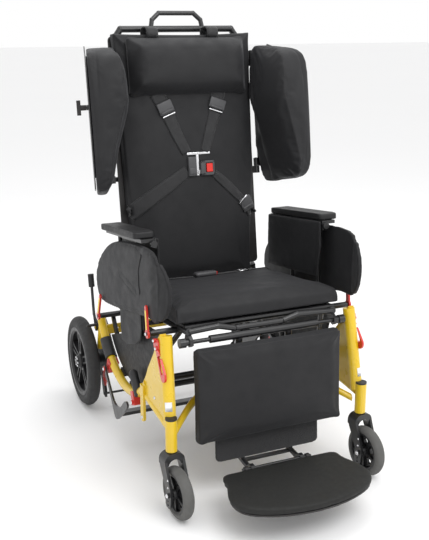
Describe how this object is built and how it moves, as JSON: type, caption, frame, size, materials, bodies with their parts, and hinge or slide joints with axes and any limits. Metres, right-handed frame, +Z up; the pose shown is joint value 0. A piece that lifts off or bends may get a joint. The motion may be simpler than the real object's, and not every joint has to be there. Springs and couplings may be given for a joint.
{
  "type": "positioning wheelchair",
  "caption": "Tilting, reclining positioning wheelchair: padded seat, tall back with swing-out wings, harness, elevating legrest, footplate, tubular base on casters and wheels.",
  "frame": {"origin": "on the floor, below the middle of the whole chair's bounding box", "axes": "+Z up, the chair faces -Y, the occupant's left is +X"},
  "size_m": [0.7786, 1.262, 1.3557],
  "materials": {
    "yellow_paint": "bright yellow gloss powder coat",
    "black_paint": "satin black powder coat",
    "cap_plastic": "moulded black plastic",
    "foam": "closed-cell foam and rubber sleeves",
    "red_paint": "red powder coat",
    "wheel_black": "black moulded nylon",
    "caster_tyre": "grey solid rubber",
    "rear_tyre": "grey-black tyre",
    "lock_black": "black rods and grips",
    "upholstery": "black four-way stretch cover",
    "skirt_black": "black vinyl-covered panel",
    "webbing": "black polyester webbing",
    "buckle_grey": "dark grey moulded buckle",
    "button_red": "red moulded button",
    "carpet": "black needle-felt board",
    "arm_pad": "moulded polyurethane skin",
    "foot_pad": "moulded polyurethane foot pad",
    "zinc": "zinc-plated steel"
  },
  "bodies": {
    "base": {"frame_right": "yellow_paint", "frame_left": "yellow_paint", "front_crossmember": "yellow_paint", "rear_crossmember": "yellow_paint", "axle_and_crossbars": "black_paint", "headset_caps": "cap_plastic", "foam_grips": "foam", "red_brackets": "red_paint", "glide_blocks": "cap_plastic"},
    "caster_swivel_right": {"caster_fork_right": "black_paint"},
    "caster_swivel_left": {"caster_fork_left": "black_paint"},
    "caster_roller_right": {"caster_wheel_right": "wheel_black", "caster_tyre_right": "caster_tyre"},
    "caster_roller_left": {"caster_wheel_left": "wheel_black", "caster_tyre_left": "caster_tyre"},
    "rear_wheel_right": {"rear_rim_right": "wheel_black", "rear_tyre_right": "rear_tyre"},
    "rear_wheel_left": {"rear_rim_left": "wheel_black", "rear_tyre_left": "rear_tyre"},
    "foot_bar": {"foot_brake_bar": "black_paint"},
    "lock_right": {"wheel_lock_right": "lock_black"},
    "lock_left": {"wheel_lock_left": "lock_black"},
    "seat": {"seat_frame": "black_paint", "seat_cushion": "upholstery", "side_skirts": "skirt_black", "side_pads": "upholstery", "lap_belt": "webbing"},
    "cam_front_right": {"front_lever_right": "red_paint"},
    "cam_front_left": {"front_lever_left": "red_paint"},
    "cam_rear_right": {"rear_lever_right": "red_paint"},
    "cam_rear_left": {"rear_lever_left": "red_paint"},
    "back": {"back_frame": "black_paint", "back_shell": "cap_plastic", "back_cushion": "upholstery", "head_pillow": "upholstery", "harness": "webbing", "harness_buckle": "buckle_grey"},
    "buckle_button": {"harness_button": "button_red"},
    "wing_right": {"wing_pad_right": "upholstery", "wing_plate_right": "black_paint"},
    "wing_left": {"wing_pad_left": "upholstery", "wing_plate_left": "black_paint"},
    "knob_right": {"wing_knob_right": "cap_plastic"},
    "knob_left": {"wing_knob_left": "cap_plastic"},
    "legrest": {"legrest_frame": "black_paint", "calf_pad": "upholstery"},
    "footrest": {"foot_slides": "black_paint", "calf_panel": "carpet"},
    "footplate": {"footplate_tray": "cap_plastic", "footplate_pad": "foot_pad"},
    "arm_right": {"arm_frame_right": "black_paint", "arm_panel_right": "upholstery", "arm_pad_right": "arm_pad"},
    "arm_left": {"arm_frame_left": "black_paint", "arm_panel_left": "upholstery", "arm_pad_left": "arm_pad"},
    "tilt_strut_body": {"tilt_cylinder": "black_paint"},
    "tilt_strut_rod": {"tilt_rod": "zinc"},
    "recline_strut_body": {"recline_cylinder": "black_paint"},
    "recline_strut_rod": {"recline_rod": "zinc"}
  },
  "joints": [
    {"name": "caster_swivel_right_turn", "type": "hinge", "parent": "base", "child": "caster_swivel_right", "pos_m": [-0.305, -0.331, 0.2], "axis": [0, 0, 1], "continuous": true},
    {"name": "caster_roll_right", "type": "hinge", "parent": "caster_swivel_right", "child": "caster_roller_right", "pos_m": [-0.30092, -0.36979, 0.076], "axis": [0.9945, 0.1045, 0], "continuous": true},
    {"name": "rear_wheel_right_spin", "type": "hinge", "parent": "base", "child": "rear_wheel_right", "pos_m": [-0.333, 0.472, 0.159], "axis": [1, 0, 0], "continuous": true},
    {"name": "lock_right_turn", "type": "hinge", "parent": "base", "child": "lock_right", "pos_m": [-0.2997, 0.409, 0.3], "axis": [1, 0, 0], "range_deg": [0, 28]},
    {"name": "cam_front_right_turn", "type": "hinge", "parent": "seat", "child": "cam_front_right", "pos_m": [-0.325, -0.209, 0.491], "axis": [1, 0, 0], "range_deg": [0, 80]},
    {"name": "cam_rear_right_turn", "type": "hinge", "parent": "seat", "child": "cam_rear_right", "pos_m": [-0.325, 0.284, 0.386], "axis": [1, 0, 0], "range_deg": [0, 80]},
    {"name": "wing_right_swing", "type": "hinge", "parent": "back", "child": "wing_right", "pos_m": [-0.262, 0.33122, 1.00034], "axis": [0, -0.1478, -0.989], "range_deg": [0, 50]},
    {"name": "knob_right_turn", "type": "hinge", "parent": "wing_right", "child": "knob_right", "pos_m": [-0.3614, 0.20188, 1.07529], "axis": [-0.9659, 0.256, -0.0383], "range_deg": [0, 180]},
    {"name": "arm_right_height", "type": "slide", "parent": "seat", "child": "arm_right", "axis": [0, 0.1305, 0.9914], "range_m": [0, 0.05]},
    {"name": "caster_swivel_left_turn", "type": "hinge", "parent": "base", "child": "caster_swivel_left", "pos_m": [0.305, -0.331, 0.2], "axis": [0, 0, 1], "continuous": true},
    {"name": "caster_roll_left", "type": "hinge", "parent": "caster_swivel_left", "child": "caster_roller_left", "pos_m": [0.30908, -0.36979, 0.076], "axis": [0.9945, 0.1045, 0], "continuous": true},
    {"name": "rear_wheel_left_spin", "type": "hinge", "parent": "base", "child": "rear_wheel_left", "pos_m": [0.333, 0.472, 0.159], "axis": [1, 0, 0], "continuous": true},
    {"name": "lock_left_turn", "type": "hinge", "parent": "base", "child": "lock_left", "pos_m": [0.2997, 0.409, 0.3], "axis": [1, 0, 0], "range_deg": [0, 28]},
    {"name": "cam_front_left_turn", "type": "hinge", "parent": "seat", "child": "cam_front_left", "pos_m": [0.325, -0.209, 0.491], "axis": [1, 0, 0], "range_deg": [0, 80]},
    {"name": "cam_rear_left_turn", "type": "hinge", "parent": "seat", "child": "cam_rear_left", "pos_m": [0.325, 0.284, 0.386], "axis": [1, 0, 0], "range_deg": [0, 80]},
    {"name": "wing_left_swing", "type": "hinge", "parent": "back", "child": "wing_left", "pos_m": [0.262, 0.33122, 1.00034], "axis": [0, 0.1478, 0.989], "range_deg": [0, 50]},
    {"name": "knob_left_turn", "type": "hinge", "parent": "wing_left", "child": "knob_left", "pos_m": [0.3614, 0.20188, 1.07529], "axis": [0.9659, 0.256, -0.0383], "range_deg": [0, 180]},
    {"name": "arm_left_height", "type": "slide", "parent": "seat", "child": "arm_left", "axis": [0, 0.1305, 0.9914], "range_m": [0, 0.05]},
    {"name": "foot_bar_press", "type": "hinge", "parent": "base", "child": "foot_bar", "pos_m": [0, 0.22801, 0.21933], "axis": [1, 0, 0], "range_deg": [0, 8]},
    {"name": "seat_tilt", "type": "hinge", "parent": "base", "child": "seat", "pos_m": [0, 0.085, 0.5], "axis": [-1, 0, 0], "range_deg": [-5, 30]},
    {"name": "back_recline", "type": "hinge", "parent": "seat", "child": "back", "pos_m": [0, 0.262, 0.5], "axis": [-1, 0, 0], "range_deg": [-5, 25]},
    {"name": "buckle_press", "type": "slide", "parent": "back", "child": "buckle_button", "axis": [0, 0.989, -0.1478], "range_m": [0, 0.0025], "stiffness_N_per_m": 150},
    {"name": "legrest_lift", "type": "hinge", "parent": "seat", "child": "legrest", "pos_m": [0, -0.285, 0.478], "axis": [-1, 0, 0], "range_deg": [0, 65]},
    {"name": "footrest_length", "type": "slide", "parent": "legrest", "child": "footrest", "axis": [0, 0.0645, 0.9979], "range_m": [-0.03, 0.04]},
    {"name": "footplate_flip", "type": "hinge", "parent": "footrest", "child": "footplate", "pos_m": [0, -0.378, 0.106], "axis": [-1, 0, 0], "range_deg": [0, 85]},
    {"name": "tilt_strut_swing", "type": "hinge", "parent": "base", "child": "tilt_strut_body", "pos_m": [0, 0.02, 0.24], "axis": [1, 0, 0], "range_deg": [-13.84, 3.14]},
    {"name": "tilt_strut_extend", "type": "slide", "parent": "tilt_strut_body", "child": "tilt_strut_rod", "axis": [0, -0.6476, 0.7619], "range_m": [-0.0198, 0.1087]},
    {"name": "recline_strut_swing", "type": "hinge", "parent": "seat", "child": "recline_strut_body", "pos_m": [0.08, -0.02, 0.446], "axis": [1, 0, 0], "range_deg": [-1.03, 1.01]},
    {"name": "recline_strut_extend", "type": "slide", "parent": "recline_strut_body", "child": "recline_strut_rod", "axis": [0, 0.9953, -0.0968], "range_m": [-0.0377, 0.0091]}
  ],
  "couplings": [
    {"joint": "tilt_strut_swing", "follows": "seat_tilt", "ratio": -0.42795},
    {"joint": "tilt_strut_extend", "follows": "seat_tilt", "m_per_rad": 0.20377},
    {"joint": "recline_strut_swing", "follows": "back_recline", "ratio": -0.00133},
    {"joint": "recline_strut_extend", "follows": "back_recline", "m_per_rad": -0.08172}
  ]
}
